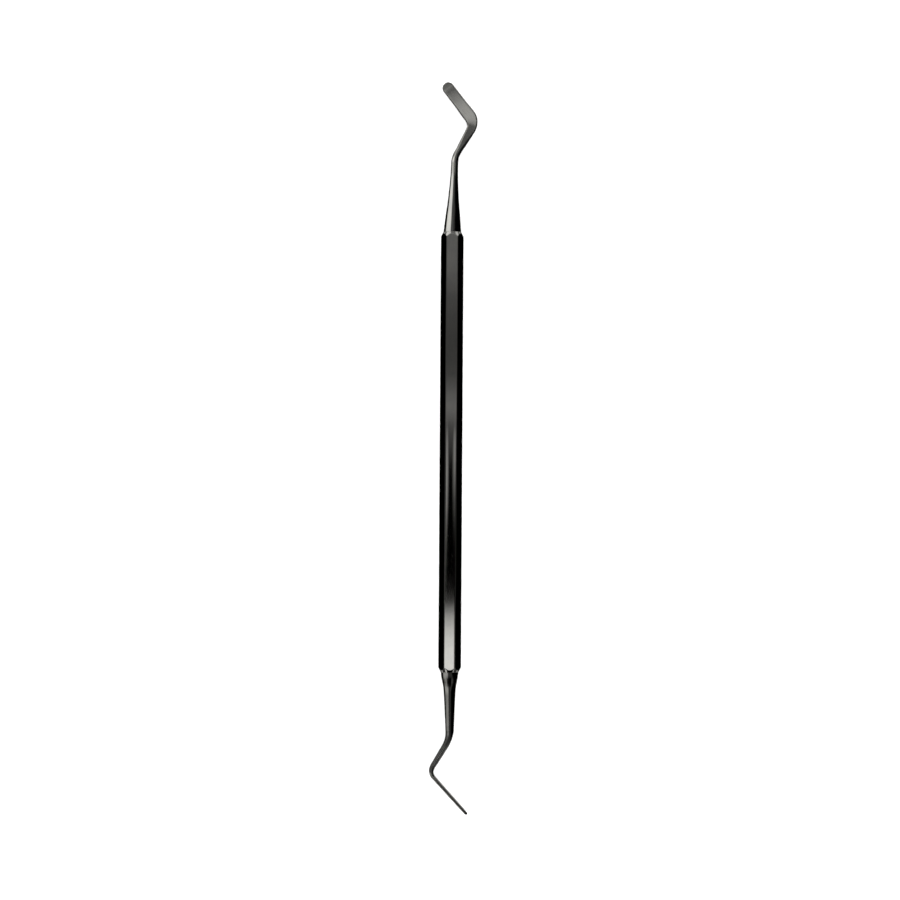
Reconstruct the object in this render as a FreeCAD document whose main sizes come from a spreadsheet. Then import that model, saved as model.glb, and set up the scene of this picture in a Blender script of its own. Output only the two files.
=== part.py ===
import FreeCAD, Part
import Sketcher
import math
import os

# Double-ended hand spatula: a solid hexagonal bar with a bent blade brazed into each end.
#
# Frame: millimetres, +Z up. The tool lies along X on one flat of its hexagon, so Z = 0 is
# the plane it rests on and the origin is the middle of that flat. +X points to the end with
# the wide blade, which lies flat in the XY plane. The narrow blade at the -X end is bent
# flatwise, so its face stands square to the XY plane. Each working end is modelled with its
# shoulder at its own origin and its route leaving along +X, and is then put in its socket.

V = FreeCAD.Vector
doc = FreeCAD.newDocument("DoubleEndedSpatula")

# ------------------------------------------------------------------ driving dimensions
dims = doc.addObject("Spreadsheet::Sheet", "Dims")
dims.Label = "Dims"
value = {}
row = [0]


def cell(alias, number, note=""):
    row[0] += 1
    dims.set("A%d" % row[0], alias)
    dims.set("B%d" % row[0], repr(float(number)))
    dims.set("C%d" % row[0], note)
    dims.setAlias("B%d" % row[0], alias)
    value[alias] = float(number)


def heading(words):
    row[0] += 1
    dims.set("A%d" % row[0], words)


heading("Handle: 3/16 in hexagon bar")
cell("handle_length", 105.0, "between the two end faces")
cell("across_flats", 4.76, "3/16 in hexagon bar")
cell("edge_round", 0.20, "broken long edges of the bar")
cell("end_face_dia", 4.32, "flat circle left by the turned chamfer")
cell("chamfer_lean", 27.0, "degrees between the turned chamfer and the bar's axis")
cell("chamfer_reach", 3.20, "radius the chamfer tool starts from, outside the corners")
cell("socket_dia", 2.50, "blind socket in each end")
cell("socket_depth", 12.0, "full-diameter depth")
cell("drill_point", 118.0, "degrees, point of the drill")

heading("Tang and brazed joint")
cell("tang_dia", 2.38, "3/32 in tang")
cell("tang_length", 11.4, "from the shoulder")
cell("tang_chamfer", 0.30, "lead-in on the tang")
cell("film", 0.08, "solder between the shoulder and the bar's end face")
cell("film_dia", 4.16, "outer edge of that film, just inside the shoulder")

# Route of each working end: three straight runs joined by two tangent bends.
heading("Wide blade end: route")
cell("wide_lean_a", -1.6, "degrees, neck to the bar's axis")
cell("wide_lean_b", -29.8, "degrees, cranked run")
cell("wide_lean_c", 37.7, "degrees, blade")
cell("wide_run_a", 17.85, "shoulder to the first corner")
cell("wide_run_b", 9.50, "first corner to the second")
cell("wide_run_c", 11.85, "second corner to the blade's tip")
cell("wide_bend_a", 5.0, "centreline radius of the first bend")
cell("wide_bend_b", 3.3, "centreline radius of the second bend")

heading("Narrow blade end: route")
cell("narrow_lean_a", 0.4, "degrees, neck to the bar's axis")
cell("narrow_lean_b", -31.5, "degrees, cranked run")
cell("narrow_lean_c", 42.3, "degrees, blade")
cell("narrow_run_a", 16.00, "shoulder to the first corner")
cell("narrow_run_b", 9.34, "first corner to the second")
cell("narrow_run_c", 13.58, "second corner to the blade's tip")
cell("narrow_bend_a", 8.0, "centreline radius of the first bend")
cell("narrow_bend_b", 2.2, "centreline radius of the second bend")

# Stations along each route: (edge of the route, place along it from 0 to 1, size in the
# plane of the bends, size along Z, corner radius). Edges 1, 3 and 5 are the straight runs,
# 2 and 4 the bends. Round sections have a corner radius of almost half their size.
RIM = 0.496
wide = [
    (1, 0.040, 4.13, 4.13, RIM),
    (1, 0.090, 3.96, 3.96, RIM),
    (1, 0.145, 3.78, 3.78, RIM),
    (1, 0.205, 3.59, 3.59, RIM),
    (1, 0.270, 3.36, 3.36, RIM),
    (1, 0.340, 3.08, 3.08, RIM),
    (1, 0.410, 2.81, 2.81, RIM),
    (1, 0.485, 2.58, 2.58, RIM),
    (1, 0.570, 2.37, 2.37, RIM),
    (1, 0.655, 2.14, 2.14, RIM),
    (1, 0.740, 1.94, 1.94, RIM),
    (1, 0.830, 1.79, 1.79, RIM),
    (1, 0.925, 1.72, 1.72, RIM),
    (2, 0.250, 1.66, 1.66, RIM),
    (2, 0.750, 1.58, 1.58, 0.490),
    (3, 0.100, 1.58, 1.50, 0.485),
    (3, 0.300, 1.70, 1.38, 0.480),
    (3, 0.520, 1.86, 1.24, 0.470),
    (3, 0.740, 1.99, 1.02, 0.460),
    (3, 0.940, 2.12, 0.88, 0.450),
    (4, 0.180, 2.28, 0.78, 0.440),
    (4, 0.380, 2.48, 0.72, 0.435),
    (4, 0.600, 2.74, 0.695, 0.430),
    (4, 0.820, 2.96, 0.685, 0.430),
    (5, 0.020, 3.07, 0.68, 0.430),
    (5, 0.120, 3.05, 0.675, 0.430),
    (5, 0.260, 2.93, 0.665, 0.430),
    (5, 0.420, 2.85, 0.645, 0.430),
    (5, 0.580, 2.84, 0.61, 0.430),
    (5, 0.720, 2.84, 0.565, 0.430),
]
narrow = [
    (1, 0.045, 4.12, 4.12, RIM),
    (1, 0.095, 3.92, 3.92, RIM),
    (1, 0.145, 3.65, 3.65, RIM),
    (1, 0.200, 3.34, 3.34, RIM),
    (1, 0.260, 3.07, 3.07, RIM),
    (1, 0.340, 2.86, 2.86, RIM),
    (1, 0.445, 2.70, 2.70, RIM),
    (1, 0.560, 2.55, 2.55, RIM),
    (1, 0.680, 2.40, 2.40, RIM),
    (1, 0.800, 2.27, 2.27, RIM),
    (1, 0.920, 2.14, 2.14, RIM),
    (2, 0.150, 1.98, 2.02, RIM),
    (2, 0.400, 1.77, 1.86, 0.490),
    (2, 0.650, 1.62, 1.72, 0.490),
    (2, 0.900, 1.54, 1.63, 0.485),
    (3, 0.200, 1.48, 1.60, 0.485),
    (3, 0.500, 1.40, 1.64, 0.480),
    (3, 0.800, 1.32, 1.74, 0.475),
    (4, 0.080, 1.24, 1.84, 0.465),
    (4, 0.300, 1.12, 1.93, 0.455),
    (4, 0.520, 1.01, 2.01, 0.450),
    (4, 0.740, 0.94, 2.08, 0.440),
    (4, 0.950, 0.88, 2.13, 0.430),
    (5, 0.060, 0.84, 2.155, 0.430),
    (5, 0.140, 0.81, 2.165, 0.430),
    (5, 0.230, 0.785, 2.17, 0.430),
    (5, 0.330, 0.77, 2.17, 0.430),
    (5, 0.440, 0.755, 2.17, 0.430),
    (5, 0.550, 0.74, 2.17, 0.430),
    (5, 0.660, 0.725, 2.17, 0.430),
    (5, 0.760, 0.71, 2.17, 0.430),
    (5, 0.830, 0.695, 2.17, 0.430),
]


def run_c_straight(name):
    """Length of the blade's straight run, from the end of its bend to the tip."""
    turn = math.radians(abs(value[name + "_lean_c"] - value[name + "_lean_b"]))
    return value[name + "_run_c"] - value[name + "_bend_b"] * math.tan(turn / 2)


# The wide blade ends in a half circle, with its thickness falling away at the edge.
straight = run_c_straight("wide")
tip_r = 1.415
for back, thick in ((1.75, 0.515), (1.15, 0.495), (0.70, 0.47), (0.36, 0.43), (0.15, 0.36), (0.04, 0.27)):
    half = tip_r if back >= tip_r else math.sqrt(2 * tip_r * back - back * back)
    wide.append((5, 1 - back / straight, round(2 * half, 3), thick, 0.430))

# The narrow blade ends in a blunt right-angled point with a rounded apex.
straight = run_c_straight("narrow")
apex_r = 0.55
for back, thick in ((1.45, 0.68), (1.08, 0.67), (0.80, 0.65), (0.48, 0.62), (0.22, 0.56), (0.09, 0.46), (0.025, 0.33)):
    touch = apex_r * (1 - math.cos(math.pi / 4))
    if back <= touch:
        half = math.sqrt(2 * apex_r * back - back * back)
    else:
        half = apex_r * math.sin(math.pi / 4) + back - touch
    # the shoulders of the point are eased into the blade's parallel sides
    half = 1.085 - math.log1p(math.exp((1.085 - half) / 0.05)) * 0.05 if half < 1.6 else 1.085
    narrow.append((5, 1 - back / straight, thick, round(2 * max(half, 0.12), 3), 0.430))

for name, stations in (("wide", wide), ("narrow", narrow)):
    heading("%s blade end: sections from the shoulder to the tip" % name.capitalize())
    cell(name + "_shoulder_dia", 4.25, "seats on the bar's end face")
    for i, (edge, place, across, tall, roundness) in enumerate(stations, 1):
        cell("%s_sec%02d_place" % (name, i), round(place, 5), "part of the way along route edge %d" % edge)
        cell("%s_sec%02d_across" % (name, i), across, "size in the plane of the bends")
        cell("%s_sec%02d_tall" % (name, i), tall, "size along Z")
        cell("%s_sec%02d_round" % (name, i), round(roundness * min(across, tall), 4), "corner radius")
doc.recompute()


# ------------------------------------------------------------------ helpers
def origin_plane(body, role):
    return next(f for f in body.Origin.OriginFeatures if f.Role == role)


def sketch_on(body, name, support, mode="FlatFace"):
    sketch = body.newObject("Sketcher::SketchObject", name)
    sketch.AttachmentSupport = support
    sketch.MapMode = mode
    return sketch


def bind(sketch, constraint_name, expression):
    sketch.setExpression("Constraints." + constraint_name, expression)


def dimension(sketch, constraint, name, expression):
    index = sketch.addConstraint(constraint)
    sketch.renameConstraint(index, name)
    bind(sketch, name, expression)


def rounded_section(sketch, across, tall, corner, names):
    """A closed rectangle with four equal round corners, centred on the sketch's origin."""
    a, b, r = across / 2, tall / 2, corner
    P = lambda x, y: V(x, y, 0)
    quarter = math.pi / 2
    arc = lambda x, y, start: Part.ArcOfCircle(Part.Circle(P(x, y), V(0, 0, 1), r), start, start + quarter)
    sketch.addGeometry(
        [
            Part.LineSegment(P(-a + r, -b), P(a - r, -b)),
            arc(a - r, -b + r, -quarter),
            Part.LineSegment(P(a, -b + r), P(a, b - r)),
            arc(a - r, b - r, 0.0),
            Part.LineSegment(P(a - r, b), P(-a + r, b)),
            arc(-a + r, b - r, quarter),
            Part.LineSegment(P(-a, b - r), P(-a, -b + r)),
            arc(-a + r, -b + r, 2 * quarter),
        ],
        False,
    )
    C = Sketcher.Constraint
    sketch.addConstraint([C("Tangent", i, 2, (i + 1) % 8, 1) for i in range(8)])
    sketch.addConstraint([C("Horizontal", 0), C("Vertical", 2), C("Horizontal", 4), C("Vertical", 6)])
    sketch.addConstraint([C("Equal", 1, 3), C("Equal", 3, 5), C("Equal", 5, 7)])
    sketch.addConstraint(C("Symmetric", 0, 1, 4, 1, -1, 1))
    dimension(sketch, C("DistanceX", 6, 1, 2, 1, across), "across", names[0])
    dimension(sketch, C("DistanceY", 0, 1, 4, 1, tall), "tall", names[1])
    dimension(sketch, C("Radius", 1, corner), "corner", names[2])


def closed_profile(sketch, points):
    """A closed polygon through the points; returns the index of its first line."""
    first = sketch.GeometryCount
    n = len(points)
    lines = [Part.LineSegment(V(*points[i], 0), V(*points[(i + 1) % n], 0)) for i in range(n)]
    sketch.addGeometry(lines, False)
    for i in range(n):
        sketch.addConstraint(Sketcher.Constraint("Coincident", first + i, 2, first + (i + 1) % n, 1))
    return first


# ------------------------------------------------------------------ handle
C = Sketcher.Constraint
handle = doc.addObject("PartDesign::Body", "handle")
handle.Label = "handle"

af = value["across_flats"]
half_length = value["handle_length"] / 2
hexagon = sketch_on(handle, "hexagon", [(origin_plane(handle, "YZ_Plane"), "")])
corner_r = af / math.sqrt(3)
ring = [V(corner_r * math.cos(math.radians(60 * i)), corner_r * math.sin(math.radians(60 * i)), 0) for i in range(6)]
hexagon.addGeometry([Part.LineSegment(ring[i], ring[(i + 1) % 6]) for i in range(6)], False)
hexagon.addGeometry(Part.Circle(V(0, 0, 0), V(0, 0, 1), corner_r), True)
for i in range(6):
    hexagon.addConstraint(C("Coincident", i, 2, (i + 1) % 6, 1))
    hexagon.addConstraint(C("PointOnObject", i, 1, 6))
for i in range(5):
    hexagon.addConstraint(C("Equal", i, i + 1))
hexagon.addConstraint(C("Coincident", 6, 3, -1, 1))
hexagon.addConstraint(C("PointOnObject", 0, 1, -1))
dimension(hexagon, C("Radius", 6, corner_r), "corner_radius", "Dims.across_flats / sqrt(3)")
doc.recompute()

bar = handle.newObject("PartDesign::Pad", "bar")
bar.Profile = hexagon
bar.Midplane = True
bar.setExpression("Length", "Dims.handle_length")
doc.recompute()

long_edges = [
    "Edge%d" % (i + 1)
    for i, e in enumerate(bar.Shape.Edges)
    if abs(e.Length - value["handle_length"]) < 1e-6
]
broken_edges = handle.newObject("PartDesign::Fillet", "broken_edges")
broken_edges.Base = (bar, long_edges)
broken_edges.setExpression("Radius", "Dims.edge_round")
doc.recompute()

# Lathe-turned chamfer on both ends: one triangle at each end, cut round the bar's axis.
turned = sketch_on(handle, "turned_chamfers", [(origin_plane(handle, "XY_Plane"), "")])
face_r, reach = value["end_face_dia"] / 2, value["chamfer_reach"]
run = (reach - face_r) / math.tan(math.radians(value["chamfer_lean"]))
for side in (1, -1):
    x = side * half_length
    first = closed_profile(turned, [(x, face_r), (x, reach), (x - side * run, reach)])
    turned.addConstraint(C("Vertical", first))
    turned.addConstraint(C("Horizontal", first + 1))
    tag = "plus" if side > 0 else "minus"
    dimension(turned, C("DistanceX", first, 1, -1, 1, -x) if side < 0 else C("DistanceX", -1, 1, first, 1, x),
              "end_" + tag, "Dims.handle_length / 2")
    dimension(turned, C("DistanceY", -1, 1, first, 1, face_r), "face_" + tag, "Dims.end_face_dia / 2")
    dimension(turned, C("DistanceY", -1, 1, first, 2, reach), "reach_" + tag, "Dims.chamfer_reach")
    expression = "(Dims.chamfer_reach - Dims.end_face_dia / 2) / tan(Dims.chamfer_lean * 1 deg)"
    if side > 0:
        dimension(turned, C("DistanceX", first + 2, 1, first, 1, run), "run_" + tag, expression)
    else:
        dimension(turned, C("DistanceX", first, 1, first + 2, 1, run), "run_" + tag, expression)
doc.recompute()
chamfers = handle.newObject("PartDesign::Groove", "end_chamfers")
chamfers.Profile = turned
chamfers.ReferenceAxis = (turned, ["H_Axis"])
chamfers.Angle = 360.0
doc.recompute()

# A blind drilled socket in each end for the tang.
last = chamfers
for side, tag in ((1, "wide"), (-1, "narrow")):
    spot = sketch_on(handle, tag + "_socket_centre", [(origin_plane(handle, "YZ_Plane"), "")])
    if side < 0:
        spot.MapReversed = True
    spot.setExpression(".AttachmentOffset.Base.z", "Dims.handle_length / 2")
    spot.addGeometry(Part.Circle(V(0, 0, 0), V(0, 0, 1), value["socket_dia"] / 2), False)
    spot.addConstraint(C("Coincident", 0, 3, -1, 1))
    dimension(spot, C("Diameter", 0, value["socket_dia"]), "bore", "Dims.socket_dia")
    doc.recompute()
    socket = handle.newObject("PartDesign::Hole", tag + "_socket")
    socket.Profile = spot
    doc.recompute()
    socket.DepthType = "Dimension"
    socket.DrillPoint = "Angled"
    socket.setExpression("Diameter", "Dims.socket_dia")
    socket.setExpression("Depth", "Dims.socket_depth")
    socket.setExpression("DrillPointAngle", "Dims.drill_point")
    doc.recompute()
    last = socket
handle.Tip = last
handle.setExpression(".Placement.Base.z", "Dims.across_flats / 2")
doc.recompute()

# ------------------------------------------------------------------ working ends


def route_sketch(body, name):
    """The bent centreline: straight, bend, straight, bend, straight, in the XY plane."""
    leans = [value["%s_lean_%s" % (name, k)] for k in "abc"]
    runs = [value["%s_run_%s" % (name, k)] for k in "abc"]
    radii = [value["%s_bend_%s" % (name, k)] for k in "ab"]
    unit = lambda deg: V(math.cos(math.radians(deg)), math.sin(math.radians(deg)), 0)
    corners = [V(0, 0, 0)]
    for lean, length in zip(leans, runs):
        corners.append(corners[-1] + unit(lean) * length)
    sketch = sketch_on(body, name + "_route", [(origin_plane(body, "XY_Plane"), "")])
    here = corners[0]
    turns = []
    for i in (1, 2):
        turn = leans[i] - leans[i - 1]
        side = 1 if turn > 0 else -1
        reach_back = radii[i - 1] * math.tan(math.radians(abs(turn) / 2))
        start = corners[i] - unit(leans[i - 1]) * reach_back
        stop = corners[i] + unit(leans[i]) * reach_back
        centre = start + unit(leans[i - 1] + 90 * side) * radii[i - 1]
        at = lambda p: math.atan2(p.y - centre.y, p.x - centre.x)
        sketch.addGeometry(Part.LineSegment(here, start), False)
        first, second = (at(start), at(stop)) if side > 0 else (at(stop), at(start))
        sketch.addGeometry(Part.ArcOfCircle(Part.Circle(centre, V(0, 0, 1), radii[i - 1]), first, second), False)
        turns.append(side)
        here = stop
    sketch.addGeometry(Part.LineSegment(here, corners[3]), False)
    # construction lines that run on to the two corners, where the runs are measured
    sketch.addGeometry(
        [
            Part.LineSegment(corners[0], corners[1]),
            Part.LineSegment(corners[1], corners[2]),
            Part.LineSegment(corners[2], corners[3]),
        ],
        True,
    )
    a_in, a_out = (1, 2) if turns[0] > 0 else (2, 1)
    b_in, b_out = (1, 2) if turns[1] > 0 else (2, 1)
    sketch.addConstraint(
        [
            C("Coincident", 5, 1, -1, 1),
            C("Coincident", 5, 2, 6, 1),
            C("Coincident", 6, 2, 7, 1),
            C("Coincident", 0, 1, 5, 1),
            C("Tangent", 0, 2, 1, a_in),
            C("Tangent", 1, a_out, 2, 1),
            C("Tangent", 2, 2, 3, b_in),
            C("Tangent", 3, b_out, 4, 1),
            C("PointOnObject", 0, 2, 5),
            C("PointOnObject", 2, 1, 6),
            C("PointOnObject", 2, 2, 6),
            C("PointOnObject", 4, 1, 7),
            C("Coincident", 4, 2, 7, 2),
        ]
    )
    for index, key in ((5, "a"), (6, "b"), (7, "c")):
        dimension(sketch, C("Distance", index, runs["abc".index(key)]), "run_" + key, "Dims.%s_run_%s" % (name, key))
        lean = leans["abc".index(key)]
        dimension(sketch, C("Angle", index, math.radians(lean)),
                  "lean_" + key, "Dims.%s_lean_%s * 1 deg" % (name, key))
    dimension(sketch, C("Radius", 1, radii[0]), "bend_a", "Dims.%s_bend_a" % name)
    dimension(sketch, C("Radius", 3, radii[1]), "bend_b", "Dims.%s_bend_b" % name)
    doc.recompute()
    return sketch, turns


def working_end(name, stations):
    body = doc.addObject("PartDesign::Body", name + "_blade_end")
    body.Label = name + "_blade_end"
    route, turns = route_sketch(body, name)
    sections = []
    shoulder = sketch_on(body, name + "_shoulder", [(origin_plane(body, "YZ_Plane"), "")])
    dia = value[name + "_shoulder_dia"]
    full = "Dims.%s_shoulder_dia" % name
    rounded_section(shoulder, dia, dia, RIM * dia, (full, full, "%s * %r" % (full, RIM)))
    for i, (edge, place, across, tall, roundness) in enumerate(stations, 1):
        key = "%s_sec%02d" % (name, i)
        s = sketch_on(body, key, [(route, "Edge%d" % edge)], "NormalToEdge")
        # a bend that turns clockwise is traced backwards
        backwards = edge in (2, 4) and turns[edge // 2 - 1] < 0
        s.MapReversed = not backwards
        s.setExpression("MapPathParameter", ("1 - Dims.%s_place" if backwards else "Dims.%s_place") % key)
        rounded_section(
            s, across, tall, value[key + "_round"], ("Dims.%s_across" % key, "Dims.%s_tall" % key, "Dims.%s_round" % key)
        )
        sections.append(s)
    doc.recompute()
    blade = body.newObject("PartDesign::AdditiveLoft", name + "_neck_and_blade")
    blade.Profile = shoulder
    blade.Sections = sections
    blade.Ruled = False
    doc.recompute()

    # The tang, turned to fit the socket, with a chamfered lead-in.
    r, length, lead = value["tang_dia"] / 2, value["tang_length"], value["tang_chamfer"]
    half = sketch_on(body, name + "_tang_profile", [(origin_plane(body, "XY_Plane"), "")])
    first = closed_profile(half, [(0.05, 0), (0.05, r), (-length + lead, r), (-length, r - lead), (-length, 0)])
    half.addConstraint(
        [
            C("Vertical", first),
            C("Horizontal", first + 1),
            C("Vertical", first + 3),
            C("PointOnObject", first, 1, -1),
            C("PointOnObject", first + 4, 1, -1),
            C("DistanceX", -1, 1, first, 1, 0.05),
        ]
    )
    dimension(half, C("DistanceY", -1, 1, first, 2, r), "tang_r", "Dims.tang_dia / 2")
    dimension(half, C("DistanceX", first + 4, 1, -1, 1, length), "tang_length", "Dims.tang_length")
    dimension(half, C("DistanceX", first + 3, 1, first + 2, 1, lead),
              "lead_x", "Dims.tang_chamfer")
    dimension(half, C("DistanceY", first + 3, 1, first + 2, 1, lead), "lead_y", "Dims.tang_chamfer")
    doc.recompute()
    tang = body.newObject("PartDesign::Revolution", name + "_tang")
    tang.Profile = half
    tang.ReferenceAxis = (half, ["H_Axis"])
    tang.Angle = 360.0
    body.Tip = tang
    doc.recompute()
    return body


def solder(name):
    """The silver solder: a thin sleeve round the tang and a thin film under the shoulder."""
    body = doc.addObject("PartDesign::Body", name + "_end_solder")
    body.Label = name + "_end_solder"
    r_in, r_out, rim = value["tang_dia"] / 2, value["socket_dia"] / 2, value["film_dia"] / 2
    film, length = value["film"], value["tang_length"]
    s = sketch_on(body, name + "_solder_profile", [(origin_plane(body, "XY_Plane"), "")])
    f = closed_profile(
        s,
        [(0, r_in), (0, rim), (-film, rim), (-film, r_out), (-length + 0.5, r_out), (-length + 0.5, r_in)],
    )
    s.addConstraint(
        [C("Vertical", f), C("Horizontal", f + 1), C("Vertical", f + 2), C("Horizontal", f + 3),
         C("Vertical", f + 4), C("Horizontal", f + 5), C("PointOnObject", f, 1, -2)]
    )
    dimension(s, C("DistanceY", -1, 1, f, 1, r_in), "r_in", "Dims.tang_dia / 2")
    dimension(s, C("DistanceY", -1, 1, f, 2, rim), "rim", "Dims.film_dia / 2")
    dimension(s, C("DistanceY", -1, 1, f + 3, 1, r_out), "r_out", "Dims.socket_dia / 2")
    dimension(s, C("DistanceX", f + 1, 2, -1, 1, film), "film", "Dims.film")
    dimension(s, C("DistanceX", f + 4, 1, -1, 1, length - 0.5), "sleeve", "Dims.tang_length - 0.5")
    doc.recompute()
    ring = body.newObject("PartDesign::Revolution", name + "_solder")
    ring.Profile = s
    ring.ReferenceAxis = (s, ["H_Axis"])
    ring.Angle = 360.0
    body.Tip = ring
    doc.recompute()
    return body


wide_end = working_end("wide", wide)
narrow_end = working_end("narrow", narrow)
wide_solder = solder("wide")
narrow_solder = solder("narrow")

# The wide end goes in the +X socket and the narrow end, turned half round Z, in the -X one.
seat = "Dims.handle_length / 2 + Dims.film"
for body, sign in ((wide_end, 1), (wide_solder, 1), (narrow_end, -1), (narrow_solder, -1)):
    if sign < 0:
        body.Placement.Rotation = FreeCAD.Rotation(V(0, 0, 1), 180)
    body.setExpression(".Placement.Base.x", ("" if sign > 0 else "-1 * ") + "(" + seat + ")")
    body.setExpression(".Placement.Base.z", "Dims.across_flats / 2")
doc.recompute()

# ------------------------------------------------------------------ test and write
bodies = [handle, wide_end, narrow_end, wide_solder, narrow_solder]
for obj in doc.Objects:
    if "Invalid" in obj.State or "Error" in obj.State:
        raise RuntimeError("%s failed: %s" % (obj.Name, obj.State))
for body in bodies:
    shape = body.Shape
    if shape.isNull() or not shape.isValid() or len(shape.Solids) != 1:
        raise RuntimeError("%s has no valid single solid" % body.Label)

# the sockets and chamfers must each have taken metal away
steps = [bar, broken_edges, chamfers] + [o for o in handle.Group if o.TypeId == "PartDesign::Hole"]
volumes = [o.Shape.Volume for o in steps]
if any(b >= a for a, b in zip(volumes, volumes[1:])):
    raise RuntimeError("a cut in the handle removed nothing: %s" % volumes)

os.makedirs("parts", exist_ok=True)
for body in bodies:
    body.Shape.exportStep("parts/%s.step" % body.Label)
    box = body.Shape.BoundBox
    print(
        "%-18s %3d faces  %9.3f mm3  X %.2f..%.2f  Y %.2f..%.2f  Z %.2f..%.2f"
        % (body.Label, len(body.Shape.Faces), body.Shape.Volume,
           box.XMin, box.XMax, box.YMin, box.YMax, box.ZMin, box.ZMax)
    )
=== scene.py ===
import bpy
import math
import numpy as np
from mathutils import Matrix, Vector


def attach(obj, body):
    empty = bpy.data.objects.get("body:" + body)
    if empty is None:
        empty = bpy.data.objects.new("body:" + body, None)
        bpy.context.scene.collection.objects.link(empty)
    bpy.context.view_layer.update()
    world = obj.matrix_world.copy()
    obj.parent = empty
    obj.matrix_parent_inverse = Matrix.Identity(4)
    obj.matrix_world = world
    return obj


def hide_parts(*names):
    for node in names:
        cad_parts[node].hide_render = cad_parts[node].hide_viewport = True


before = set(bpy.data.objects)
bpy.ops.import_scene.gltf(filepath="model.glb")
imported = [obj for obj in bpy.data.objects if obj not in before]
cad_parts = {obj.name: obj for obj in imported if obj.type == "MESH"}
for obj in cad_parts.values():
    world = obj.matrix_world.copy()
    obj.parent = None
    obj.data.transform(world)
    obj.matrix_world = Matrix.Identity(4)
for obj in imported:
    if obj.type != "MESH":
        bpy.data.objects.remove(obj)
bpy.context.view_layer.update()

MM = 0.001
AXIS_Z = 2.38          # height of the bar's axis over the flat it lies on, mm
HALF = 52.5            # half the bar's length, mm
FILM = 0.08            # solder film under each shoulder, mm


# ------------------------------------------------------------------ mesh helpers
def pchip(xs, ys, x):
    """Monotone cubic through the stations, so that no bulge appears between two of them."""
    xs, ys = np.asarray(xs, float), np.asarray(ys, float)
    h, d = np.diff(xs), np.diff(ys) / np.diff(xs)
    m = np.zeros_like(ys)
    m[0], m[-1] = d[0], d[-1]
    for i in range(1, len(xs) - 1):
        if d[i - 1] * d[i] > 0:
            w1, w2 = 2 * h[i] + h[i - 1], h[i] + 2 * h[i - 1]
            m[i] = (w1 + w2) / (w1 / d[i - 1] + w2 / d[i])
    i = np.clip(np.searchsorted(xs, x) - 1, 0, len(xs) - 2)
    t = (x - xs[i]) / h[i]
    return (
        (2 * t**3 - 3 * t**2 + 1) * ys[i]
        + (t**3 - 2 * t**2 + t) * h[i] * m[i]
        + (-2 * t**3 + 3 * t**2) * ys[i + 1]
        + (t**3 - t**2) * h[i] * m[i + 1]
    )


def tube(name, rings, uv_along, uv_round, caps=(True, True), sharp_rings=()):
    """A closed skin over rings (n, m, 3) in mm. The first and last rings close to a point or a small cap."""
    n, m, _ = rings.shape
    verts = rings.reshape(-1, 3) * MM
    faces, loops_uv = [], []
    u = np.asarray(uv_round)
    for i in range(n - 1):
        for j in range(m):
            k = (j + 1) % m
            faces.append((i * m + j, i * m + k, (i + 1) * m + k, (i + 1) * m + j))
            u1 = u[j + 1] if k == 0 else u[k]
            loops_uv += [(uv_along[i], u[j]), (uv_along[i], u1), (uv_along[i + 1], u1), (uv_along[i + 1], u[j])]
    verts = list(map(tuple, verts))
    for end, ring in ((0, 0), (1, n - 1)):
        if caps[end]:
            centre = tuple(rings[ring].mean(0) * MM)
            verts.append(centre)
            c = len(verts) - 1
            for j in range(m):
                k = (j + 1) % m
                a, b = ring * m + j, ring * m + k
                faces.append((b, a, c) if end == 0 else (a, b, c))
                v = uv_along[ring]
                loops_uv += [(v, u[j]), (v, u[j]), (v + 1e-4, u[j])]
    mesh = bpy.data.meshes.new(name)
    mesh.from_pydata(verts, [], faces)
    layer = mesh.uv_layers.new(name="along")
    layer.data.foreach_set("uv", np.asarray(loops_uv, np.float32).ravel())
    mesh.update()
    mesh.polygons.foreach_set("use_smooth", [True] * len(mesh.polygons))
    if sharp_rings:
        sharp = set(sharp_rings)
        marks = np.zeros(len(mesh.edges), bool)
        for e in mesh.edges:
            a, b = e.vertices
            if a < n * m and b < n * m and a // m == b // m and a // m in sharp:
                marks[e.index] = True
        attr = mesh.attributes.new("sharp_edge", "BOOLEAN", "EDGE")
        attr.data.foreach_set("value", marks)
    mesh.validate()
    obj = bpy.data.objects.new(name, mesh)
    bpy.context.scene.collection.objects.link(obj)
    return obj


# ------------------------------------------------------------------ working ends
def route(leans, runs, bends):
    """Points and headings along three straight runs joined by two tangent bends."""
    unit = lambda a: np.array([math.cos(math.radians(a)), math.sin(math.radians(a))])
    corners = [np.zeros(2)]
    for a, l in zip(leans, runs):
        corners.append(corners[-1] + unit(a) * l)
    legs, here = [], corners[0]
    for i in (1, 2):
        turn = leans[i] - leans[i - 1]
        back = bends[i - 1] * math.tan(math.radians(abs(turn) / 2))
        start, stop = corners[i] - unit(leans[i - 1]) * back, corners[i] + unit(leans[i]) * back
        legs.append(("line", here, start, leans[i - 1], float(np.linalg.norm(start - here))))
        legs.append(("bend", start, turn, leans[i - 1], bends[i - 1] * math.radians(abs(turn)), bends[i - 1]))
        here = stop
    legs.append(("line", here, corners[3], leans[2], float(np.linalg.norm(corners[3] - here))))
    lengths = [l[4] for l in legs]
    starts = np.concatenate([[0], np.cumsum(lengths)])

    def at(s):
        i = int(min(np.searchsorted(starts, s, side="right") - 1, 4))
        i = max(i, 0)
        leg, t = legs[i], s - starts[i]
        if leg[0] == "line":
            return leg[1] + unit(leg[3]) * t, leg[3]
        side = 1 if leg[2] > 0 else -1
        centre = leg[1] + unit(leg[3] + 90 * side) * leg[5]
        angle = math.degrees(t / leg[5]) * side
        return centre - unit(leg[3] + 90 * side + angle) * leg[5], leg[3] + angle

    return at, starts


def station(starts, edge, place):
    return starts[edge - 1] + (starts[edge] - starts[edge - 1]) * place


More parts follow.
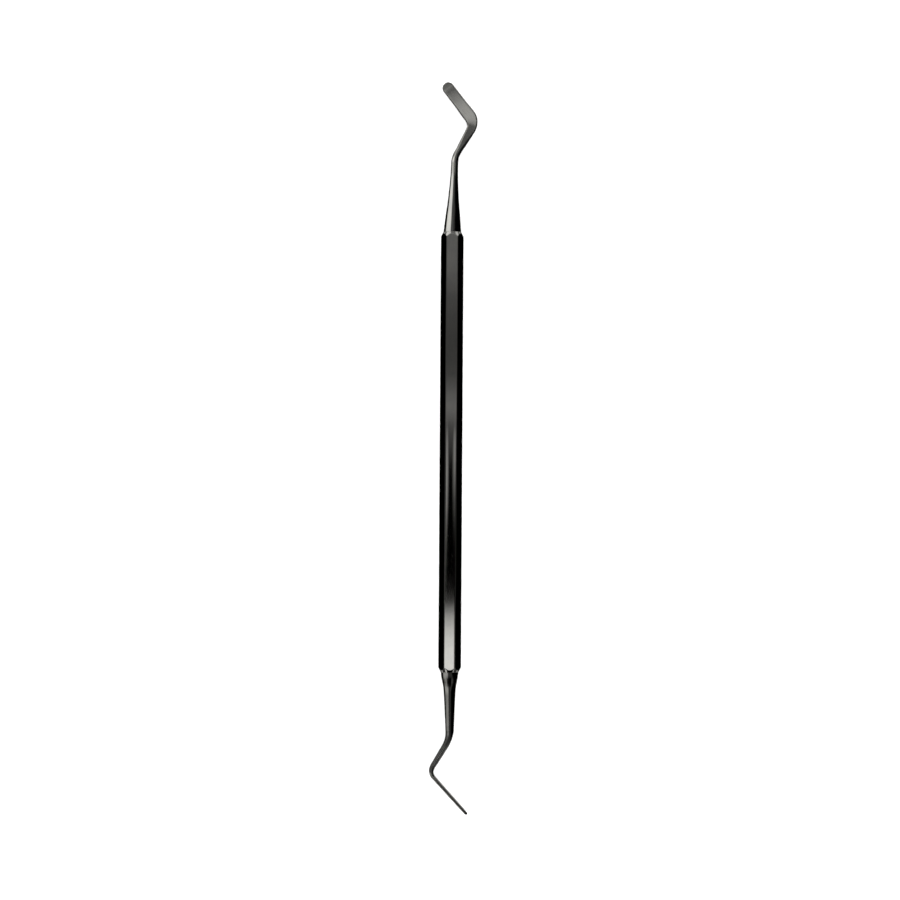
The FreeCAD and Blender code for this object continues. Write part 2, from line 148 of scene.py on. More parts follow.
WIDE = dict(
    leans=(-1.6, -29.8, 37.7), runs=(17.85, 9.50, 11.85), bends=(5.0, 3.3),
    table=[
        (1, 0.000, 4.25, 4.25, 0.496), (1, 0.040, 4.13, 4.13, 0.496), (1, 0.090, 3.96, 3.96, 0.496),
        (1, 0.145, 3.78, 3.78, 0.496), (1, 0.205, 3.59, 3.59, 0.496), (1, 0.270, 3.36, 3.36, 0.496),
        (1, 0.340, 3.08, 3.08, 0.496), (1, 0.410, 2.81, 2.81, 0.496), (1, 0.485, 2.58, 2.58, 0.496),
        (1, 0.570, 2.37, 2.37, 0.496), (1, 0.655, 2.14, 2.14, 0.496), (1, 0.740, 1.94, 1.94, 0.496),
        (1, 0.830, 1.79, 1.79, 0.496), (1, 0.925, 1.72, 1.72, 0.496), (2, 0.250, 1.66, 1.66, 0.496),
        (2, 0.750, 1.58, 1.58, 0.490), (3, 0.100, 1.58, 1.50, 0.485), (3, 0.300, 1.70, 1.38, 0.480),
        (3, 0.520, 1.86, 1.24, 0.470), (3, 0.740, 1.99, 1.02, 0.460), (3, 0.940, 2.12, 0.88, 0.450),
        (4, 0.180, 2.28, 0.78, 0.440), (4, 0.380, 2.48, 0.72, 0.435), (4, 0.600, 2.74, 0.695, 0.430),
        (4, 0.820, 2.96, 0.685, 0.430), (5, 0.020, 3.07, 0.68, 0.430), (5, 0.120, 3.05, 0.675, 0.430),
        (5, 0.260, 2.93, 0.665, 0.430), (5, 0.420, 2.85, 0.645, 0.430), (5, 0.580, 2.84, 0.61, 0.430),
        (5, 0.720, 2.84, 0.565, 0.430), (5, 0.819, 2.84, 0.515, 0.430), (5, 0.881, 2.84, 0.495, 0.430), (5, 1.000, 2.84, 0.44, 0.430),
    ],
)
NARROW = dict(
    leans=(0.4, -31.5, 42.3), runs=(16.00, 9.34, 13.58), bends=(8.0, 2.2),
    table=[
        (1, 0.000, 4.25, 4.25, 0.496), (1, 0.045, 4.12, 4.12, 0.496), (1, 0.095, 3.92, 3.92, 0.496),
        (1, 0.145, 3.65, 3.65, 0.496), (1, 0.200, 3.34, 3.34, 0.496), (1, 0.260, 3.07, 3.07, 0.496),
        (1, 0.340, 2.86, 2.86, 0.496), (1, 0.445, 2.70, 2.70, 0.496), (1, 0.560, 2.55, 2.55, 0.496),
        (1, 0.680, 2.40, 2.40, 0.496), (1, 0.800, 2.27, 2.27, 0.496), (1, 0.920, 2.14, 2.14, 0.496),
        (2, 0.150, 1.98, 2.02, 0.496), (2, 0.400, 1.77, 1.86, 0.496), (2, 0.650, 1.62, 1.72, 0.496),
        (2, 0.900, 1.54, 1.63, 0.485), (3, 0.200, 1.48, 1.60, 0.485), (3, 0.500, 1.40, 1.64, 0.480),
        (3, 0.800, 1.32, 1.74, 0.475), (4, 0.080, 1.24, 1.84, 0.465), (4, 0.300, 1.12, 1.93, 0.455),
        (4, 0.520, 1.01, 2.01, 0.450), (4, 0.740, 0.94, 2.08, 0.440), (4, 0.950, 0.88, 2.13, 0.430),
        (5, 0.060, 0.84, 2.155, 0.430), (5, 0.140, 0.81, 2.165, 0.430), (5, 0.230, 0.785, 2.17, 0.430),
        (5, 0.330, 0.77, 2.17, 0.430), (5, 0.440, 0.755, 2.17, 0.430), (5, 0.550, 0.74, 2.17, 0.430),
        (5, 0.660, 0.725, 2.17, 0.430), (5, 0.760, 0.71, 2.17, 0.430), (5, 0.830, 0.695, 2.17, 0.430),
        (5, 1.000, 0.64, 2.17, 0.430),
    ],
)


def working_end(name, spec, pointed, turned):
    at, starts = route(spec["leans"], spec["runs"], spec["bends"])
    S = [station(starts, e, p) for e, p, *_ in spec["table"]]
    across, tall, corner = (np.array([row[k] for row in spec["table"]]) for k in (2, 3, 4))
    total = starts[-1]
    # points around the section: half a flat, a quarter arc, half a flat, four times over
    flat, arc = 6, 16
    quarter = 2 * flat + arc
    m = 4 * quarter
    angle = np.arange(m) / m * 2 * math.pi

    def section(w, t, r):
        """Rounded rectangle w across by t tall, its corners blending into the flats."""
        w, t = max(w, 1e-3), max(t, 1e-3)
        r = min(r, 0.499 * w, 0.499 * t)
        pts = []
        for k in range(4):
            a, b = (w / 2, t / 2) if k % 2 == 0 else (t / 2, w / 2)
            q = [(a, (b - r) * i / flat) for i in range(flat)]
            q += [(a - r + r * math.cos(f), b - r + r * math.sin(f)) for f in np.linspace(0, math.pi / 2, arc + 1)[:-1]]
            q += [((a - r) * (1 - i / flat), b) for i in range(flat)]
            for x, y in q:
                pts.append(((x, y), (-y, x), (-x, -y), (y, -x))[k])
        return np.array(pts)

    # rings: the neck and blade evenly, then closer and closer to the tip
    tip = 1.6
    body = np.concatenate([np.linspace(0, total - tip, 330)])
    back = tip * (1 - np.sin(np.linspace(0, math.pi / 2, 64)))[1:]
    along = np.concatenate([body, total - np.maximum(back, 0.003)])
    rings, uv = [], []
    # tang inside the socket, with its lead-in chamfer
    for x, r in ((-11.4, 0.89), (-11.1, 1.19), (-8.0, 1.19), (-4.0, 1.19), (0.0, 1.19)):
        rings.append(np.stack([np.full(m, x), r * np.cos(angle), r * np.sin(angle)], 1))
        uv.append(x)
    first_skin = len(rings)
    for s in along:
        w, t, n = (float(pchip(S, v, np.array([s]))[0]) for v in (across, tall, corner))
        w, t = w * 0.998, t * 0.998
        left = total - s
        if pointed:   # blunt right-angled point with a rounded apex, in the tall direction
            apex = 0.55
            touch = apex * (1 - math.cos(math.pi / 4))
            if left <= touch:
                half = math.sqrt(max(2 * apex * left - left * left, 0))
            else:
                half = apex * math.sin(math.pi / 4) + left - touch
            full = t / 2
            # eased shoulder between the point and the parallel sides
            k = 0.10
            half_t = -k * math.log(math.exp(-half / k) + math.exp(-full / k)) if half < 3 else full
            t = 2 * max(half_t, 0.0) if left > 0 else 0.0
            w *= math.sqrt(max(1 - max(0.0, 1 - left / 0.30) ** 2, 0.0))
        else:         # half-round end, in the plane of the bends
            r = 1.415
            if left < r:
                w = min(w, 2 * math.sqrt(max(2 * r * left - left * left, 0)))
            t *= math.sqrt(max(1 - max(0.0, 1 - left / 0.28) ** 2, 0.0))
        p, heading = at(s)
        side = np.array([-math.sin(math.radians(heading)), math.cos(math.radians(heading))])
        outline = section(w, t, n * min(w, t))
        a, b = outline[:, 0], outline[:, 1]
        # close to the shoulder the sections stay parallel to the bar's end face
        if s < 1.2:
            f = s / 1.2
            head = np.array([math.cos(math.radians(heading * f)), math.sin(math.radians(heading * f))])
            side = np.array([-head[1], head[0]])
        rings.append(np.stack([p[0] + side[0] * a, p[1] + side[1] * a, b], 1))
        uv.append(s)
    rings = np.array(rings)
    if turned:
        rings[:, :, :2] *= -1
    sign = -1 if turned else 1
    rings[:, :, 0] += sign * (HALF + FILM)
    rings[:, :, 2] += AXIS_Z
    around = np.arange(m + 1) / m * 6.0
    return tube(name, rings, np.array(uv), around, caps=(True, False), sharp_rings=(0, 1, 4, first_skin))


wide_end = working_end("wide_spatula_end", WIDE, pointed=False, turned=False)
narrow_end = working_end("narrow_spatula_end", NARROW, pointed=True, turned=True)


# ------------------------------------------------------------------ handle
def hex_radius(theta, grow=0.0):
    """The bar's outline: six faces with a slight crown from polishing, and softly broken edges."""
    apothem, crown = 2.38 + grow, 0.020
    best = []
    for k in range(6):
        a = theta - math.radians(30 + 60 * k) 
        c = np.cos(a)
        d = np.where(c > 0.2, apothem / np.maximum(c, 0.2), 99.0)
        u = d * np.sin(a)
        face = apothem - crown * (u / 1.374) ** 2
        best.append(np.where(c > 0.2, face / np.maximum(c, 0.2), 99.0))
    best = np.array(best)
    k = 0.028
    return -k * np.log(np.exp(-(best - 2.0) / k).sum(0)) + 2.0


def handle_mesh():
    per = 30
    # angles gather at the six edges, where the outline turns
    base = np.linspace(-1, 1, per, endpoint=False)
    warp = np.sign(base) * (1 - (1 - np.abs(base)) ** 1.5)
    theta = np.concatenate([math.radians(30 + 60 * k) + warp * math.radians(30) for k in range(6)])
    theta = np.sort(theta % (2 * math.pi))
    m = len(theta)
    outline = hex_radius(theta)
    lean = math.tan(math.radians(27.0))
    face_r, socket_r = 2.16, 1.25
    near = np.concatenate([[0.0], np.linspace(0.0, 1.45, 72)[1:]])
    xs = np.concatenate([-HALF + near, np.linspace(-HALF + 1.45, HALF - 1.45, 120)[1:-1], HALF - near[::-1]])
    rings, uv = [], []

    def ring(x, r):
        rings.append(np.stack([np.full(m, x), r * np.cos(theta), r * np.sin(theta)], 1))

    def round_ring(x, r, v):
        ring(x, np.full(m, r))
        uv.append(v)

    # blind socket at -X: drill point, wall, mouth, end face
    round_ring(-HALF + 12.75, 0.02, -HALF - 16)
    round_ring(-HALF + 12.0, socket_r, -HALF - 15)
    round_ring(-HALF + 0.06, socket_r, -HALF - 2)
    round_ring(-HALF, socket_r + 0.06, -HALF - 1.5)
    first = len(rings)
    for x in xs:
        d = min(x + HALF, HALF - x)
        cone = face_r + d * lean
        k = 0.012
        r = -k * np.log(np.exp(-(outline - 2.4) / k) + np.exp(-(cone - 2.4) / k)) + 2.4
        ring(x, r)
        uv.append(x)
    last = len(rings) - 1
    round_ring(HALF, socket_r + 0.06, HALF + 1.5)
    round_ring(HALF - 0.06, socket_r, HALF + 2)
    round_ring(HALF - 12.0, socket_r, HALF + 15)
    round_ring(HALF - 12.75, 0.02, HALF + 16)
    rings = np.array(rings)
    rings[:, :, 2] += AXIS_Z
    around = np.concatenate([np.arange(m) / m * 6.0, [6.0]])
    return tube("hex_handle", rings, np.array(uv), around, sharp_rings=(1, 2, 3, first, last, last + 1, last + 2, last + 3))


handle = handle_mesh()


# ------------------------------------------------------------------ solder
def solder_mesh(name, side, seed):
    """A thin bright bead in the step between the bar's end face and the shoulder, over the film and sleeve."""
    rng = np.random.default_rng(seed)
    m = 120
    theta = np.arange(m) / m * 2 * math.pi
    wave = sum(rng.uniform(0.2, 1.0) / k * np.cos(k * theta + rng.uniform(0, 6.28)) for k in (2, 3, 5, 7, 11))
    wave = wave / np.abs(wave).max()
    rings, uv = [], []
    profile = [(-10.9, 1.19), (-10.9, 1.25), (-5.0, 1.25), (-0.085, 1.25), (-0.080, 1.30), (-0.080, 2.04),
               (-0.074, 2.085), (-0.055, 2.112), (-0.030, 2.118), (-0.008, 2.108), (0.0, 2.08), (0.0, 1.21), (-0.02, 1.19)]
    for i, (x, r) in enumerate(profile):
        bead = r > 2.0
        rr = r + (0.010 * wave if bead else 0.0)
        rings.append(np.stack([np.full(m, side * (HALF + FILM + x)), rr * np.cos(theta), rr * np.sin(theta)], 1))
        uv.append(i * 0.3)
    rings.append(rings[0].copy())
    uv.append(len(profile) * 0.3)
    rings = np.array(rings)
    if side > 0:
        rings = rings[::-1]
    rings[:, :, 2] += AXIS_Z
    obj = tube(name, rings, np.array(uv), np.arange(m + 1) / m * 6.0, caps=(False, False))
    mesh = obj.data
    import bmesh
    bm = bmesh.new()
    bm.from_mesh(mesh)
    bmesh.ops.remove_doubles(bm, verts=bm.verts, dist=1e-8)
    bmesh.ops.recalc_face_normals(bm, faces=bm.faces)
    bm.to_mesh(mesh)
    bm.free()
    return obj


wide_solder = solder_mesh("wide_end_solder_bead", 1, 3)
narrow_solder = solder_mesh("narrow_end_solder_bead", -1, 8)

import bmesh
for o in (wide_end, narrow_end, handle):
    bm = bmesh.new()
    bm.from_mesh(o.data)
    bmesh.ops.remove_doubles(bm, verts=bm.verts, dist=1e-8)
    bmesh.ops.recalc_face_normals(bm, faces=bm.faces)
    bm.to_mesh(o.data)
    bm.free()

for piece, node, slot in (
    (handle, "handle", "handle_steel"),
    (wide_end, "wide_blade_end", "blade_steel"),
    (narrow_end, "narrow_blade_end", "blade_steel"),
    (wide_solder, "wide_end_solder", "silver_solder"),
    (narrow_solder, "narrow_end_solder", "silver_solder"),
):
    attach(piece, "root")
    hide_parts(node)


# ------------------------------------------------------------------ materials
class Nodes:
    def __init__(self, tree):
        self.t = tree
        tree.nodes.clear()

    def add(self, kind, **props):
        n = self.t.nodes.new(kind)
        for k, v in props.items():
            setattr(n, k, v)
        return n

    def link(self, a, b):
        self.t.links.new(a, b)

    def feed(self, socket, v):
        if isinstance(v, (int, float)):
            socket.default_value = v
        elif isinstance(v, (tuple, list)):
            socket.default_value = v
        else:
            self.link(v, socket)

    def math(self, op, a, b=0.0, clamp=False):
        n = self.add("ShaderNodeMath", operation=op, use_clamp=clamp)
        self.feed(n.inputs[0], a)
        self.feed(n.inputs[1], b)
        return n.outputs[0]

    def smooth(self, v, lo, hi, out_lo=0.0, out_hi=1.0):
        n = self.add("ShaderNodeMapRange", interpolation_type="SMOOTHSTEP")
        for s, x in zip(n.inputs[:5], (v, lo, hi, out_lo, out_hi)):
            self.feed(s, x)
        return n.outputs[0]

    def curve(self, v, points):
        """Piecewise-linear function of v as a colour ramp over its range."""
        lo, hi = points[0][0], points[-1][0]
        top = max(p[1] for p in points) or 1.0
        r = self.add("ShaderNodeMapRange")
        for s, x in zip(r.inputs[:5], (v, lo, hi, 0.0, 1.0)):
            self.feed(s, x)
        ramp = self.add("ShaderNodeValToRGB")
        cr = ramp.color_ramp
        while len(cr.elements) > 1:
            cr.elements.remove(cr.elements[-1])
        for i, (x, y) in enumerate(points):
            pos = (x - lo) / (hi - lo)
            e = cr.elements[0] if i == 0 else cr.elements.new(pos)
            e.position = pos
            e.color = (y / top, y / top, y / top, 1)
        self.link(r.outputs[0], ramp.inputs[0])
        return self.math("MULTIPLY", ramp.outputs[0], top)


def steel(name, tint, rough, spread, anisotropic, lines, lines_depth, marks):
    """Polished stainless: long polishing lines, cloudy buffing, a few hairline scratches."""
    mat = bpy.data.materials.new(name)
    mat.use_nodes = True
    n = Nodes(mat.node_tree)
    out = n.add("ShaderNodeOutputMaterial")
    bsdf = n.add("ShaderNodeBsdfPrincipled")
    n.link(bsdf.outputs[0], out.inputs[0])
    bsdf.inputs["Metallic"].default_value = 1.0
    bsdf.inputs["Anisotropic"].default_value = anisotropic
    coord = n.add("ShaderNodeTexCoord")
    uv = n.add("ShaderNodeUVMap", uv_map="along")
    tangent = n.add("ShaderNodeTangent", direction_type="UV_MAP", uv_map="along")
    n.link(tangent.outputs[0], bsdf.inputs["Tangent"])

    def stretched(scale, detail=4.0, rough_=0.55, vec=None):
        m = n.add("ShaderNodeMapping")
        n.link(vec or uv.outputs[0], m.inputs[0])
        m.inputs["Scale"].default_value = scale
        t = n.add("ShaderNodeTexNoise")
        t.inputs["Scale"].default_value = 1.0
        t.inputs["Detail"].default_value = detail
        t.inputs["Roughness"].default_value = rough_
        n.link(m.outputs[0], t.inputs["Vector"])
        return t.outputs[0]

    cloud = stretched((420, 420, 420), 3.0, 0.5, coord.outputs["Object"])
    fine = stretched(lines, 5.0, 0.6)
    coarse = stretched(tuple(x * 0.35 for x in lines), 3.0, 0.5)
    # hairline scratches: thin bands of a stretched noise
    hair = stretched(marks, 2.0, 0.4)
    hair = n.math("ABSOLUTE", n.math("SUBTRACT", hair, 0.5))
    hair = n.smooth(hair, 0.0, 0.012, 1.0, 0.0)
    # colour: a little darker in the lines, a little warmer in the clouds
    shade = n.math("MULTIPLY_ADD", fine, 0.10)
    shade.node.inputs[2].default_value = 0.95
    ramp = n.add("ShaderNodeValToRGB")
    e = ramp.color_ramp.elements
    e[0].position, e[1].position = 0.30, 0.72
    e[0].color = (*[c * 0.93 for c in tint], 1)
    e[1].color = (tint[0] * 1.03, tint[1] * 1.02, tint[2] * 0.99, 1)
    n.link(cloud, ramp.inputs[0])
    mul = n.add("ShaderNodeMix", data_type="RGBA", blend_type="MULTIPLY")
    mul.inputs[0].default_value = 1.0
    n.link(ramp.outputs[0], mul.inputs[6])
    grey = n.add("ShaderNodeCombineColor")
    for i in range(3):
        n.link(shade, grey.inputs[i])
    n.link(grey.outputs[0], mul.inputs[7])
    n.link(mul.outputs[2], bsdf.inputs["Base Color"])
    # roughness
    r = n.math("MULTIPLY_ADD", cloud, spread)
    r.node.inputs[2].default_value = rough - spread * 0.5
    r = n.math("ADD", r, n.math("MULTIPLY", n.math("SUBTRACT", coarse, 0.5), spread))
    r = n.math("ADD", r, n.math("MULTIPLY", hair, spread), clamp=True)
    n.link(r, bsdf.inputs["Roughness"])
    # relief, in metres
    height = n.math("MULTIPLY", fine, 1.0)
    height = n.math("SUBTRACT", height, n.math("MULTIPLY", hair, 0.6))
    bump = n.add("ShaderNodeBump")
    bump.inputs["Strength"].default_value = 1.0
    bump.inputs["Distance"].default_value = lines_depth
    n.link(height, bump.inputs["Height"])
    n.link(bump.outputs[0], bsdf.inputs["Normal"])
    return mat


handle_steel = steel("handle_steel", (0.615, 0.612, 0.600), 0.030, 0.012, 0.35, (0.35, 46.0, 1.0), 0.7e-7, (0.06, 11.0, 1.0))
blade_steel = steel("blade_steel", (0.600, 0.600, 0.585), 0.095, 0.040, 0.35, (0.9, 30.0, 1.0), 2.5e-7, (0.15, 8.0, 1.0))

solder_metal = steel("silver_solder", (0.72, 0.70, 0.63), 0.26, 0.10, 0.0, (6.0, 14.0, 1.0), 2.0e-6, (0.5, 6.0, 1.0))

for o, mat in ((handle, handle_steel), (wide_end, blade_steel), (narrow_end, blade_steel),
               (wide_solder, solder_metal), (narrow_solder, solder_metal)):
    o.data.materials.clear()
    o.data.materials.append(mat)
for node, mat in (("handle", handle_steel), ("wide_blade_end", blade_steel), ("narrow_blade_end", blade_steel),
                  ("wide_end_solder", solder_metal), ("narrow_end_solder", solder_metal)):
    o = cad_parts[node]
    if not o.data.uv_layers:
        o.data.uv_layers.new(name="along")
    o.data.materials.clear()
    o.data.materials.append(mat)


# ------------------------------------------------------------------ floor and backdrop
def plain(name, colour, emit=0.0):
    mat = bpy.data.materials.new(name)
    mat.use_nodes = True
    n = Nodes(mat.node_tree)
    out = n.add("ShaderNodeOutputMaterial")
    bsdf = n.add("ShaderNodeBsdfPrincipled")
    bsdf.inputs["Base Color"].default_value = (*colour, 1)
    bsdf.inputs["Roughness"].default_value = 0.9
    bsdf.inputs["Specular IOR Level"].default_value = 0.1
    if emit:
        bsdf.inputs["Emission Color"].default_value = (1, 1, 1, 1)
        bsdf.inputs["Emission Strength"].default_value = emit
    n.link(bsdf.outputs[0], out.inputs[0])
    return mat


mesh = bpy.data.meshes.new("floor")
R = 3.0
mesh.from_pydata([(-R, -R, 0), (R, -R, 0), (R, R, 0), (-R, R, 0)], [], [(0, 1, 2, 3)])
floor = bpy.data.objects.new("floor", mesh)
floor.location = (0, 0, 0)
floor_mat = plain("floor_white", (0.92, 0.92, 0.92), 1.0)
fn = floor_mat.node_tree
shader = next(x for x in fn.nodes if x.type == "BSDF_PRINCIPLED")
geo = fn.nodes.new("ShaderNodeNewGeometry")
dist = fn.nodes.new("ShaderNodeVectorMath")
dist.operation = "LENGTH"
fn.links.new(geo.outputs["Position"], dist.inputs[0])
fade = fn.nodes.new("ShaderNodeMapRange")
fade.interpolation_type = "SMOOTHSTEP"
for s_, v_ in zip(fade.inputs[1:5], (0.35, 1.5, 0.0, 1.2)):
    s_.default_value = v_
fn.links.new(dist.outputs["Value"], fade.inputs[0])
fn.links.new(fade.outputs[0], shader.inputs["Emission Strength"])
floor.data.materials.append(floor_mat)
bpy.context.scene.collection.objects.link(floor)
floor.visible_glossy = False

# a large pale dome behind everything, seen by the camera only
mesh = bpy.data.meshes.new("backdrop")
bm = bmesh.new()
bmesh.ops.create_uvsphere(bm, u_segments=48, v_segments=24, radius=4.0)
bm.to_mesh(mesh)
bm.free()
backdrop = bpy.data.objects.new("backdrop", mesh)
backdrop.data.materials.append(plain("backdrop_white", (0, 0, 0), 1.0))
bpy.context.scene.collection.objects.link(backdrop)
for k in ("visible_diffuse", "visible_glossy", "visible_transmission", "visible_shadow", "visible_volume_scatter"):
    setattr(backdrop, k, False)


# ------------------------------------------------------------------ light
def lin(srgb):
    c = srgb / 255.0
    return c / 12.92 if c <= 0.04045 else ((c + 0.055) / 1.055) ** 2.4


F = 0.60    # reflectance of the steel, so that a table of tones gives the light to reflect


def tone(srgb):
    return lin(srgb) / F


world = bpy.data.worlds.new("studio")
bpy.context.scene.world = world
world.use_nodes = True
w = Nodes(world.node_tree)
w_out = w.add("ShaderNodeOutputWorld")
bg = w.add("ShaderNodeBackground")
w.link(bg.outputs[0], w_out.inputs[0])
tc = w.add("ShaderNodeTexCoord")
sep = w.add("ShaderNodeSeparateXYZ")
w.link(tc.outputs["Generated"], sep.inputs[0])
X, Y, Z = sep.outputs

def box(v, lo, hi, soft):
    return w.math("MULTIPLY", w.smooth(v, lo - soft, lo), w.smooth(v, hi + soft, hi))


def times(*vs):
    v = vs[0]
    for x in vs[1:]:
        v = w.math("MULTIPLY", v, x)
    return v


def plus(*vs):
    v = vs[0]
    for x in vs[1:]:
        v = w.math("ADD", v, x)
    return v


AX = w.math("ABSOLUTE", X)
flat_len = w.math("SQRT", w.math("MAXIMUM", w.math("SUBTRACT", 1.0, w.math("MULTIPLY", Z, Z)), 1e-6))
toward = w.math("DIVIDE", w.math("MULTIPLY", Y, -1.0), flat_len)
# dim room above the horizon, lifted on the +X side
above = w.smooth(Z, -0.20, 0.05)
room = times(w.smooth(X, 0.25, 0.70, 0.045, 0.20), above)
# a paler corner on the -X -Y side and another on the +X -Y side
sweep_a = w.smooth(w.math("SUBTRACT", X, Y), -0.16, 0.18, 0.55, 0.06)
sweep_b = w.smooth(w.math("ADD", X, Y), -0.18, 0.14, 0.06, 0.50)
room = plus(room, times(sweep_a, w.smooth(X, -0.38, -0.60), w.smooth(Y, -0.38, -0.60), w.smooth(Z, 0.20, 0.30)))
room = plus(room, times(sweep_b, w.smooth(X, 0.45, 0.64), w.smooth(Y, -0.38, -0.60), above))
# black card on the -Y side
flag = times(w.smooth(toward, 0.80, 0.92), w.smooth(Z, 0.975, 0.88), w.smooth(Z, -0.86, -0.70))
room = times(room, w.math("SUBTRACT", 1.0, flag))
# black card at the -X end
card = times(w.smooth(X, -0.30, -0.45), w.smooth(w.math("ABSOLUTE", Y), 0.52, 0.36), w.smooth(Z, 0.10, 0.25))
room = times(room, w.math("SUBTRACT", 1.0, card))
# a dim strip high on the -Y side, above the card and only across the handle
strip = times(w.smooth(AX, 0.20, 0.12), w.smooth(toward, 0.80, 0.92), w.smooth(Z, 0.74, 0.80), w.smooth(Z, 0.92, 0.87))
room = plus(room, times(strip, w.smooth(X, -0.12, 0.12, 0.03, 0.17)))
# the pale floor, seen beyond the ends and straight below
room = plus(room, times(w.smooth(AX, 0.34, 0.60, 0.0, 0.50), w.smooth(Z, -0.12, -0.45)))
room = plus(room, w.smooth(Z, -0.80, -0.93, 0.0, 0.42))

# overhead: a long soft light that fades along the tool, with a dark wedge in the middle
px = lambda y: (449.5 - y) * 0.23891 / 595.3
along = w.curve(X, [(x, tone(t)) for x, t in (
    (-0.30, 30), (-0.16, 35), (-0.115, 50), (-0.098, 90), (px(680), 190))] + [(px(y), tone(t)) for y, t in (
    (668, 210), (655, 207), (645, 200), (630, 182), (620, 158), (612, 126), (606, 96), (602, 24), (599, 0),
    (475, 0), (462, 18), (445, 50), (425, 62), (410, 96), (395, 86), (375, 56),
    (340, 52), (300, 62), (262, 88), (235, 84))] + [(x, tone(t)) for x, t in (
    (0.100, 100), (0.125, 178), (0.140, 170), (0.151, 124), (0.171, 86), (0.200, 70), (0.30, 90))])
band_l = w.curve(X, [(px(y), tone(t)) for y, t in (
    (602, 0), (590, 26), (560, 60), (540, 66), (520, 88), (500, 114), (470, 124), (440, 114), (425, 76), (400, 0))])
band_r = w.curve(X, [(px(y), tone(t)) for y, t in (
    (602, 0), (590, 10), (560, 2), (540, 14), (520, 36), (500, 60), (480, 88), (460, 112), (440, 118), (425, 74), (400, 0))])


def hump(v, centre, width):
    d = w.math("ABSOLUTE", w.math("SUBTRACT", v, centre))
    return w.smooth(d, width, 0.0)


# the left band leans outward toward the wedge's wide end
shift = w.smooth(X, px(580), px(480), 0.016, 0.0)
bands = plus(times(band_l, hump(w.math("SUBTRACT", Y, shift), 0.044, 0.030)), times(band_r, hump(w.math("ADD", Y, shift), -0.041, 0.033)))
# the pale end stops a little short of the -Y edge
short = times(w.smooth(Y, -0.040, -0.054), w.smooth(X, px(588), px(600)), w.smooth(X, px(690), px(680)))
top = w.math("MAXIMUM", times(along, w.math("SUBTRACT", 1.0, short)), bands)
reach = times(w.smooth(w.math("ABSOLUTE", Y), 0.18, 0.09), w.smooth(AX, 0.36, 0.22), w.smooth(Z, 0.5, 0.8))
value = plus(times(top, reach), times(room, w.math("SUBTRACT", 1.0, reach)))
colour = w.add("ShaderNodeCombineColor")
w.link(value, colour.inputs[0])
w.link(w.math("MULTIPLY", value, 0.995), colour.inputs[1])
w.link(w.math("MULTIPLY", value, 0.975), colour.inputs[2])
w.link(colour.outputs[0], bg.inputs[0])
bg.inputs[1].default_value = 1.0


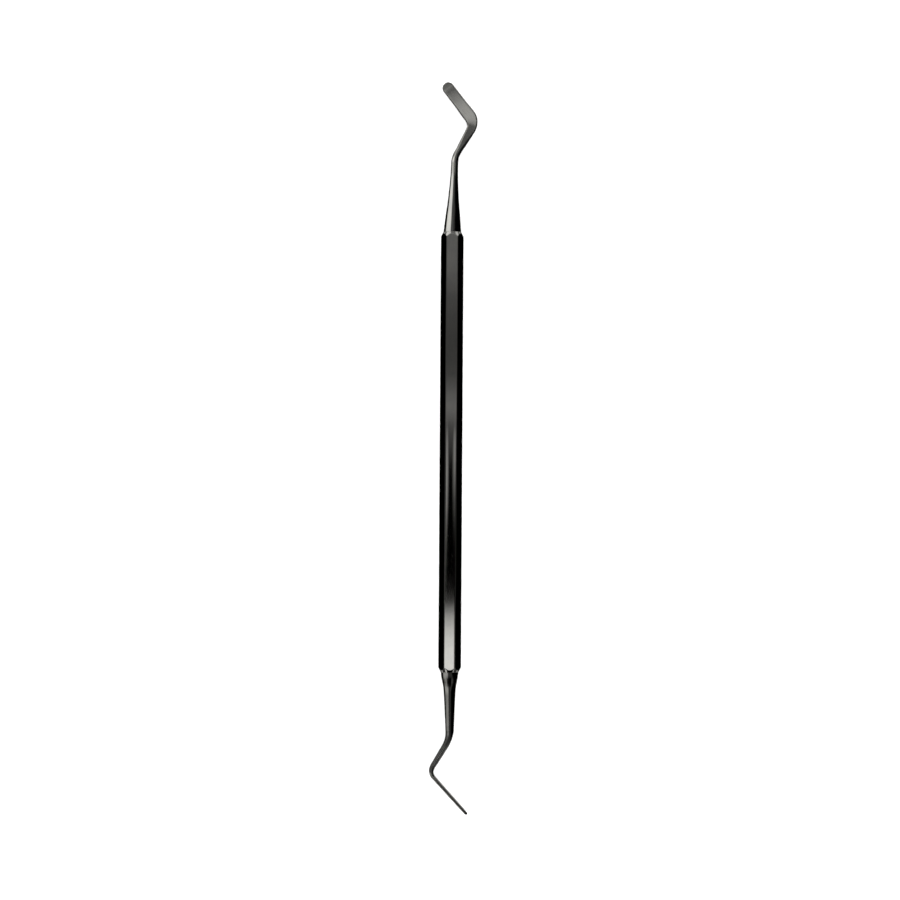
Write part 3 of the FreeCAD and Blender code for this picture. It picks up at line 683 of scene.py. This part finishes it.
def softbox():
    """A curved panel on the +Y side, 0.34 m off the tool's axis, brighter in some stretches than in others."""
    R, nx, nf = 0.34, 60, 24
    verts, faces = [], []
    for i in range(nx + 1):
        for j in range(nf + 1):
            f = math.radians(-16 + 100 * j / nf)
            verts.append((-0.75 + 1.5 * i / nx, R * math.cos(f), R * math.sin(f)))
    for i in range(nx):
        for j in range(nf):
            a = i * (nf + 1) + j
            faces.append((a, a + 1, a + nf + 2, a + nf + 1))
    mesh = bpy.data.meshes.new("softbox")
    mesh.from_pydata(verts, [], faces)
    o = bpy.data.objects.new("softbox", mesh)
    mat = bpy.data.materials.new("softbox_cloth")
    mat.use_nodes = True
    n = Nodes(mat.node_tree)
    out = n.add("ShaderNodeOutputMaterial")
    mix = n.add("ShaderNodeMixShader")
    emit = n.add("ShaderNodeEmission")
    clear = n.add("ShaderNodeBsdfTransparent")
    tc = n.add("ShaderNodeTexCoord")
    sp = n.add("ShaderNodeSeparateXYZ")
    n.link(tc.outputs["Object"], sp.inputs[0])
    x, y, z = sp.outputs
    level = n.curve(x, [(-0.75, 0.5), (-0.46, 0.90), (-0.36, 0.80), (-0.27, 0.28), (-0.20, 0.34), (-0.145, 0.50), (-0.130, 0.40), (-0.116, 0.14),
                        (-0.06, 0.09), (-0.03, 0.11), (0.05, 0.11), (0.100, 0.14), (0.116, 0.22), (0.128, 0.95), (0.137, 1.12),
                        (0.180, 1.10), (0.215, 0.60), (0.265, 0.32), (0.36, 1.00), (0.75, 0.8)])
    s_ = n.math("DIVIDE", z, R)
    shape = n.math("MULTIPLY", n.smooth(s_, -0.24, 0.12), n.smooth(s_, 0.99, 0.86))
    # toward the -X side the panel stays low
    low = n.math("MAXIMUM", n.smooth(s_, 0.60, 0.78), n.smooth(s_, 0.44, 0.32))
    low = n.math("MULTIPLY", n.smooth(x, -0.16, -0.24), low)
    shape = n.math("MULTIPLY", shape, n.math("SUBTRACT", 1.0, low))
    # soft outer ends
    shape = n.math("MULTIPLY", shape, n.smooth(n.math("ABSOLUTE", x), 0.75, 0.55))
    n.link(n.math("MULTIPLY", level, shape), emit.inputs[1])
    emit.inputs[0].default_value = (1.0, 0.99, 0.965, 1)
    n.link(n.smooth(shape, 0.0, 0.15), mix.inputs[0])
    n.link(clear.outputs[0], mix.inputs[1])
    n.link(emit.outputs[0], mix.inputs[2])
    n.link(mix.outputs[0], out.inputs[0])
    mesh.materials.append(mat)
    bpy.context.scene.collection.objects.link(o)
    for k in ("visible_camera", "visible_diffuse", "visible_transmission", "visible_shadow", "visible_volume_scatter"):
        setattr(o, k, False)


softbox()


def area(name, location, target, size, power, glossy):
    data = bpy.data.lights.new(name, "AREA")
    data.shape = "RECTANGLE"
    data.size, data.size_y = size
    data.energy = power
    o = bpy.data.objects.new(name, data)
    o.location = location
    o.rotation_euler = (Vector(target) - Vector(location)).to_track_quat("-Z", "Y").to_euler()
    o.visible_camera = False
    o.visible_glossy = glossy
    bpy.context.scene.collection.objects.link(o)
    return o


area("overhead_soft", (0, 0, 1.7), (0, 0, 0), (2.4, 2.4), 95.0, False)

# ------------------------------------------------------------------ camera
cam_data = bpy.data.cameras.new("camera")
cam_data.sensor_width = 36.0
cam_data.lens = 100.0
cam_data.clip_start, cam_data.clip_end = 0.01, 20.0
cam = bpy.data.objects.new("camera", cam_data)
bpy.context.scene.collection.objects.link(cam)
roll = 0.0062977
up = Vector((1.0, roll, 0)).normalized()
right = Vector((roll, -1.0, 0)).normalized()
width = 900 * 0.238908 * MM
distance = width / 2 / (18.0 / 100.0)
cam.matrix_world = Matrix((
    (right.x, up.x, 0, 0.000476),
    (right.y, up.y, 0, 0.000232),
    (0, 0, 1, AXIS_Z * MM + distance),
    (0, 0, 0, 1),
))
bpy.context.scene.camera = cam
bpy.context.scene.view_settings.view_transform = "Standard"
